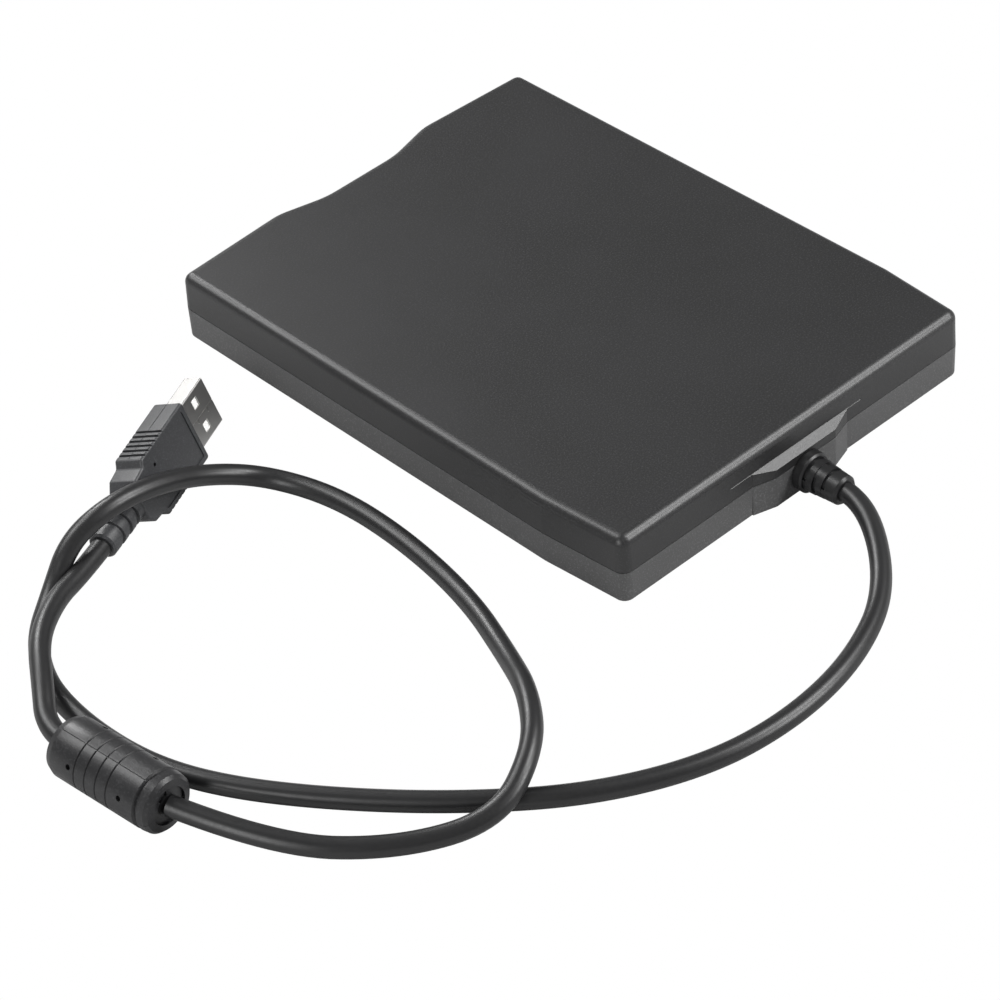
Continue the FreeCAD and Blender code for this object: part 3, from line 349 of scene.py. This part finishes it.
def ring_piece(frame_matrix, inner, outer, low, high, start, end, steps=14):
    """A block bent round the Z axis between two radii, two heights and two angles in degrees."""
    bm = bmesh.new()
    loops = []
    for k in range(steps + 1):
        angle = math.radians(start + (end - start) * k / steps)
        corners = [(inner, low), (outer, low), (outer, high), (inner, high)]
        loop = []
        for radius, height in corners:
            place = (radius * math.cos(angle) * MM, radius * math.sin(angle) * MM, height * MM)
            loop.append(bm.verts.new(place))
        loops.append(loop)
    for before, after in zip(loops, loops[1:]):
        for i in range(4):
            j = (i + 1) % 4
            bm.faces.new((before[i], before[j], after[j], after[i]))
    bm.faces.new(loops[0])
    bm.faces.new(list(reversed(loops[-1])))
    bm.transform(frame_matrix)
    return mesh_object("ring_piece", bm)


def smooth(made, angle=32.0):
    made.data.polygons.foreach_set("use_smooth", [True] * len(made.data.polygons))
    made.data.set_sharp_from_angle(angle=math.radians(angle))


def in_millimetres(made):
    """Face normals and cuts are only reliable on a mesh whose numbers aren't tiny."""
    bm = bmesh.new()
    bm.from_mesh(made.data)
    bm.transform(Matrix.Scale(PER_METRE, 4))
    bmesh.ops.recalc_face_normals(bm, faces=bm.faces)
    bm.to_mesh(made.data)
    bm.free()


def carve(node_name, cutters, material):
    """A copy of a node in metres, with the cutters taken out, that stands in its place."""
    bm = bmesh.new()
    bm.from_mesh(nodes[node_name].data)
    bmesh.ops.remove_doubles(bm, verts=bm.verts, dist=WELD_DISTANCE)
    made = mesh_object(node_name + "_detailed", bm)
    in_millimetres(made)
    for cutter in cutters:
        in_millimetres(cutter)
        cut = made.modifiers.new("cut", "BOOLEAN")
        cut.operation = "DIFFERENCE"
        cut.solver = "EXACT"
        cut.object = cutter
    bpy.context.view_layer.update()
    seen = made.evaluated_get(bpy.context.evaluated_depsgraph_get())
    final = bpy.data.meshes.new_from_object(seen)
    final.transform(Matrix.Scale(MM, 4))
    made.modifiers.clear()
    made.data = final
    for cutter in cutters:
        bpy.data.objects.remove(cutter, do_unlink=True)
    final.materials.clear()
    final.materials.append(material)
    if "custom_normal" in final.attributes:
        final.attributes.remove(final.attributes["custom_normal"])
    smooth(made)
    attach(made, "case")
    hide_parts(node_name)
    return made


# Ferrite bead: moulding holes in rows round it and a seam line along each side
BEAD_START = (0.16067, 0.021, 0.0071)
BEAD_RADIUS = 6.75
HOLE_ANGLES = (20.0, 132.0, 200.0, 312.0)
HOLE_PLACES = (7.2, 21.4)
HOLE_RADIUS = 0.62
HOLE_DEPTH = 0.9
SEAM_ANGLES = (72.0, 252.0)
SEAM_DEPTH = 0.25
SEAM_HALF_WIDTH = 0.1
SEAM_ENDS = (0.6, 25.4)
CUTTER_TOP = 7.4
bead_along = Vector((-0.0715, 0.9974, 0.0)).normalized()
bead_side = bead_along.cross(Vector((0, 0, 1))).normalized()
bead_up = bead_side.cross(bead_along)
bead_turn = Matrix((bead_side, bead_up, bead_along)).transposed().to_4x4()
BEAD_FRAME = Matrix.Translation(BEAD_START) @ bead_turn


def bead_cutters():
    cutters = []
    for degrees in HOLE_ANGLES:
        angle = math.radians(degrees)
        toward = (math.cos(angle), math.sin(angle), 0.0)
        for along in HOLE_PLACES:
            place = (BEAD_RADIUS * toward[0], BEAD_RADIUS * toward[1], along)
            cutters.append(pin(BEAD_FRAME, place, toward, HOLE_RADIUS, HOLE_DEPTH))
    for degrees in SEAM_ANGLES:
        turned_frame = BEAD_FRAME @ Matrix.Rotation(math.radians(degrees), 4, "Z")
        low = (BEAD_RADIUS - SEAM_DEPTH, -SEAM_HALF_WIDTH, SEAM_ENDS[0])
        high = (CUTTER_TOP, SEAM_HALF_WIDTH, SEAM_ENDS[1])
        cutters.append(bar(turned_frame, low, high))
    return cutters


bead_left = carve("bead_cover_left", bead_cutters(), BEAD_MAT)
bead_right = carve("bead_cover_right", bead_cutters(), BEAD_MAT)

# Plug: a seam line along each edge and a round pin mark on each broad face
PLUG_TIP = (0.0722, -0.0389, 0.0095)
PIN_MARK = (-26.8, 3.6)
PIN_MARK_RADIUS = 0.45
PIN_MARK_DEPTH = 0.7
PLUG_FACE_HEIGHT = 3.35
PLUG_SEAM_ENDS = (-30.4, -10.0)
PLUG_SEAM_SIDES = (7.5, 8.4)
PLUG_SEAM_HALF_WIDTH = 0.09
plug_along = Vector((-0.919, -0.392, 0.041)).normalized()
plug_side = Vector((0.164, -0.283, 0.945))
plug_side = (plug_side - plug_along * plug_side.dot(plug_along)).normalized()
plug_face = plug_along.cross(plug_side)
plug_turn = Matrix((plug_along, plug_side, plug_face)).transposed().to_4x4()
PLUG_FRAME = Matrix.Translation(PLUG_TIP) @ plug_turn


def plug_cutters():
    cutters = []
    for side in (-1, 1):
        place = (*PIN_MARK, side * PLUG_FACE_HEIGHT)
        cutters.append(pin(PLUG_FRAME, place, (0, 0, 1), PIN_MARK_RADIUS, PIN_MARK_DEPTH))
    for side in (-1, 1):
        low_side, high_side = sorted(side * edge for edge in PLUG_SEAM_SIDES)
        low = (PLUG_SEAM_ENDS[0], low_side, -PLUG_SEAM_HALF_WIDTH)
        high = (PLUG_SEAM_ENDS[1], high_side, PLUG_SEAM_HALF_WIDTH)
        cutters.append(bar(PLUG_FRAME, low, high))
    return cutters


plug_moulding = carve("plug_body", plug_cutters(), PLUG_MAT)


def name_pieces(pieces, stem, material):
    for k, made in enumerate(pieces):
        made.name = "%s_%d" % (stem, k)
        made.data.materials.append(material)
        smooth(made)
        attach(made, "case")


# Clasp that closes the bead's near end round the cord: a wide ring and a narrow tongue
CLASP_INNER = 2.36
CLASP_OUTER = 4.2
clasp_ring = ring_piece(BEAD_FRAME, CLASP_INNER, CLASP_OUTER, 26.62, 28.3, 95, 405, 40)
clasp_tongue = ring_piece(BEAD_FRAME, CLASP_INNER, CLASP_OUTER, 27.2, 27.9, 44, 96)
clasp = [clasp_ring, clasp_tongue]
name_pieces(clasp, "bead_end_clasp", BEAD_MAT)

# Strain relief: staggered webs bridge the grooves between its rings
RELIEF_START = (-0.001, 0.0659, 0.0056)
RELIEF_GROOVES = ((7.5, 8.5, 3.95), (9.9, 11.0, 3.75), (12.3, 13.4, 3.55))
WEB_INNER = 2.9
WEB_HALF_ANGLE = 32
RELIEF_TURN = Matrix.Rotation(math.radians(-90), 4, "X")
RELIEF_FRAME = Matrix.Translation(RELIEF_START) @ RELIEF_TURN
webs = []
for groove, (low, high, outer) in enumerate(RELIEF_GROOVES):
    for side in (0, 180):
        middle = side + 90 * (groove % 2) + 20
        start = middle - WEB_HALF_ANGLE
        end = middle + WEB_HALF_ANGLE
        webs.append(ring_piece(RELIEF_FRAME, WEB_INNER, outer, low, high, start, end))
name_pieces(webs, "relief_web", CORD_MAT)


# Thread of the lead screw, as a helical ridge on its shaft
def helix(name, start, radius, turns, pitch, wire, material, body):
    data = bpy.data.curves.new(name, "CURVE")
    data.dimensions = "3D"
    data.bevel_depth = wire * MM
    data.bevel_resolution = 3
    data.use_fill_caps = True
    steps = int(turns * 20)
    spline = data.splines.new("POLY")
    spline.points.add(steps)
    for k, point in enumerate(spline.points):
        angle = 2 * math.pi * turns * k / steps
        along = start[1] + pitch * turns * k / steps
        point.co = ((start[0] + radius * math.cos(angle)) * MM, along * MM,
                    (start[2] + radius * math.sin(angle)) * MM, 1.0)
    data.materials.append(material)
    made = bpy.data.objects.new(name, data)
    scene.collection.objects.link(made)
    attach(made, body)
    return made


thread = helix("screw_thread", (16.5, 38.7, 8.4), 1.5, 7, 2.0, 0.2, SCREW_STEEL, "screw")


# Floor, light and surroundings
def area_light(name, place, aim, size, power, size_y=None):
    data = bpy.data.lights.new(name, "AREA")
    data.energy = power
    data.size = size
    if size_y:
        data.shape = "RECTANGLE"
        data.size_y = size_y
    made = bpy.data.objects.new(name, data)
    scene.collection.objects.link(made)
    made.location = place
    made.rotation_mode = "QUATERNION"
    made.rotation_quaternion = (Vector(aim) - Vector(place)).to_track_quat("-Z", "Y")
    return made


floor_mesh = bpy.data.meshes.new("floor")
floor_mesh.from_pydata([(-4, -4, 0), (4, -4, 0), (4, 4, 0), (-4, 4, 0)], [], [(0, 1, 2, 3)])
floor = bpy.data.objects.new("floor", floor_mesh)
scene.collection.objects.link(floor)
floor.location.z = -0.0002
floor_mat, tree, shader = new_material("floor")
shader.inputs["Base Color"].default_value = (0.50, 0.50, 0.50, 1.0)
shader.inputs["Roughness"].default_value = 0.9
bright = node(tree, "ShaderNodeEmission", Strength=1.0)
bright.inputs["Color"].default_value = (1.0, 1.0, 1.0, 1.0)
path = tree.nodes.new("ShaderNodeLightPath")
mix = tree.nodes.new("ShaderNodeMixShader")
tree.links.new(path.outputs["Is Camera Ray"], mix.inputs["Fac"])
tree.links.new(shader.outputs["BSDF"], mix.inputs[1])
tree.links.new(bright.outputs["Emission"], mix.inputs[2])
tree.links.new(mix.outputs["Shader"], tree.nodes["Material Output"].inputs["Surface"])
floor_mesh.materials.append(floor_mat)

world = bpy.data.worlds.new("studio")
scene.world = world
world.use_nodes = True
world.node_tree.nodes["Background"].inputs["Color"].default_value = (1.0, 1.0, 1.0, 1.0)
world.node_tree.nodes["Background"].inputs["Strength"].default_value = 0.30
area_light("rear_softbox", (-0.62, 0.50, 0.95), (0.0, 0.05, 0.01), 0.45, 10.5)
area_light("front_softbox", (0.40, -0.72, 0.95), (0.05, 0.0, 0.01), 0.40, 8.0, size_y=0.7)
area_light("side_softbox", (1.1, 0.25, 0.35), (0.05, 0.0, 0.01), 0.35, 6.6, size_y=0.8)
area_light("back_fill", (-0.68, 1.05, 0.62), (0.0, 0.07, 0.01), 0.4, 10.0, size_y=0.35)
area_light("far_sheen", (-0.06, -0.58, 0.42), (0.05, -0.06, 0.017), 0.22, 2.5)
